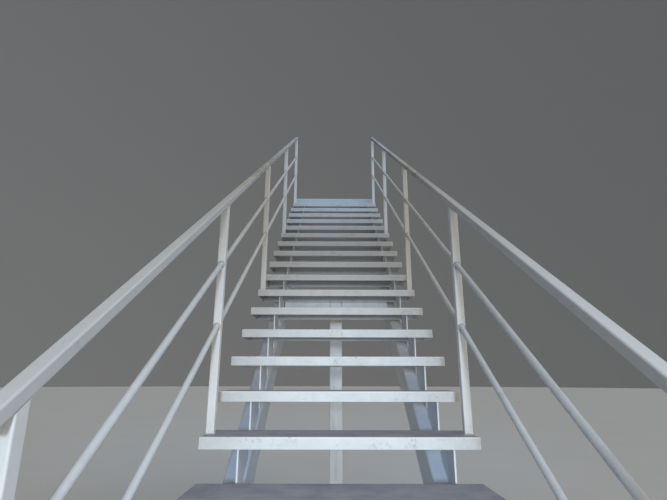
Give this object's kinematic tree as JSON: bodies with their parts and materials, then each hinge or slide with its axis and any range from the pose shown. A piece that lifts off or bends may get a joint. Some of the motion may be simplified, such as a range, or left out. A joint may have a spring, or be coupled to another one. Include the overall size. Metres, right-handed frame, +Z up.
{
  "type": "open-riser steel stair flight",
  "caption": "Straight open-riser steel stair with folded plate treads on two box stringers, a centre trestle post, square rail posts, flat top rails and round middle rails.",
  "frame": {"origin": "on the floor, under the middle of the flight's bounding box", "axes": "+Y along the flight from its foot to the landing, +X to the right of someone going up, +Z up"},
  "size_m": [1.2, 5.98, 4.9516],
  "materials": {
    "tread_enamel": "scuffed off-white enamel on folded plate, dusty on top",
    "stringer_enamel": "grey-white enamel in shade, dusty on top",
    "gusset_enamel": "off-white enamel on thin plate",
    "post_enamel": "off-white enamel on square tube",
    "rail_enamel": "off-white enamel, worn grey by hands",
    "bar_enamel": "off-white enamel on round tube",
    "plate_enamel": "off-white enamel on thick plate, scuffed"
  },
  "bodies": {
    "root": {"tread_01": "tread_enamel", "tread_02": "tread_enamel", "tread_03": "tread_enamel", "tread_04": "tread_enamel", "tread_05": "tread_enamel", "tread_06": "tread_enamel", "tread_07": "tread_enamel", "tread_08": "tread_enamel", "tread_09": "tread_enamel", "tread_10": "tread_enamel", "tread_11": "tread_enamel", "tread_12": "tread_enamel", "tread_13": "tread_enamel", "tread_14": "tread_enamel", "tread_15": "tread_enamel", "tread_16": "tread_enamel", "tread_17": "tread_enamel", "tread_18": "tread_enamel", "tread_19": "tread_enamel", "tread_20": "tread_enamel", "tread_21": "tread_enamel", "landing_edge": "tread_enamel", "stringer_left": "stringer_enamel", "stringer_right": "stringer_enamel", "gussets_left": "gusset_enamel", "gussets_right": "gusset_enamel", "foot_plate_left": "plate_enamel", "foot_plate_right": "plate_enamel", "end_plate_left": "plate_enamel", "end_plate_right": "plate_enamel", "rail_posts_left": "post_enamel", "rail_posts_right": "post_enamel", "top_rail_left": "rail_enamel", "top_rail_right": "rail_enamel", "upper_mid_rail_left": "bar_enamel", "upper_mid_rail_right": "bar_enamel", "lower_mid_rail_left": "bar_enamel", "lower_mid_rail_right": "bar_enamel", "cross_beam_left": "stringer_enamel", "cross_beam_right": "stringer_enamel", "centre_post": "post_enamel", "post_cap": "plate_enamel", "post_base_plate": "plate_enamel"}
  },
  "joints": []
}
